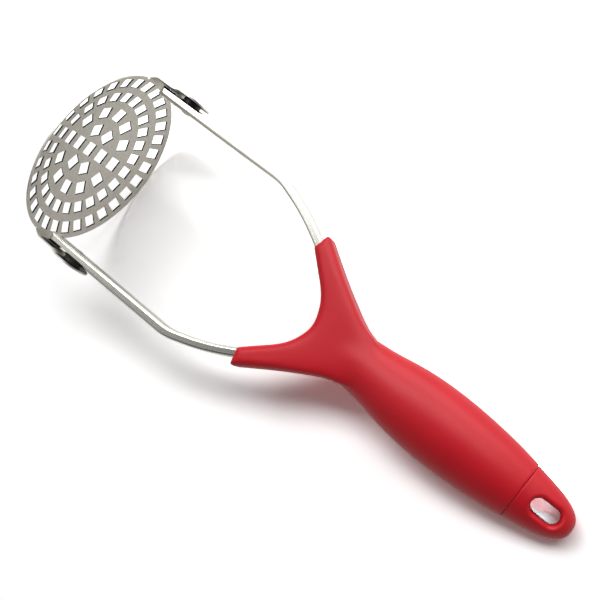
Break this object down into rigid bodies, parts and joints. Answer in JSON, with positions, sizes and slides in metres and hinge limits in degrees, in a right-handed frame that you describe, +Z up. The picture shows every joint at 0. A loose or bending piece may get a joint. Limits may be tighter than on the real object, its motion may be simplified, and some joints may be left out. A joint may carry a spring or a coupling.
{
  "type": "potato masher",
  "caption": "Masher with a domed, pierced disc that folds on two riveted ears, bent steel arms and a forked soft-grip handle with a hanging slot.",
  "frame": {"origin": "centre of the bounding box, on the surface the tool lies on", "axes": "+X runs from the mashing disc to the butt, +Y from the left arm to the right arm, +Z up"},
  "size_m": [0.2734, 0.0976, 0.0892],
  "materials": {
    "satin_sheet": "satin stainless sheet",
    "polished_bar": "polished stainless bar",
    "rivet_steel": "satin stainless rivet",
    "dark_washer": "dark moulded friction washer",
    "core_plastic": "moulded rigid plastic, hidden",
    "soft_red": "satin soft-touch elastomer",
    "cap_red": "satin moulded plastic, the grip's colour"
  },
  "bodies": {
    "handle": {"right_arm": "polished_bar", "left_arm": "polished_bar", "right_pivot_rivet": "rivet_steel", "left_pivot_rivet": "rivet_steel", "right_pivot_washer": "dark_washer", "left_pivot_washer": "dark_washer", "handle_core": "core_plastic", "grip": "soft_red", "end_cap": "cap_red"},
    "head": {"masher_disc": "satin_sheet"}
  },
  "joints": [
    {"name": "head_fold", "type": "hinge", "parent": "handle", "child": "head", "pos_m": [-0.10601, 0, 0.04178], "axis": [0, 1, 0], "range_deg": [-90, 90]}
  ]
}
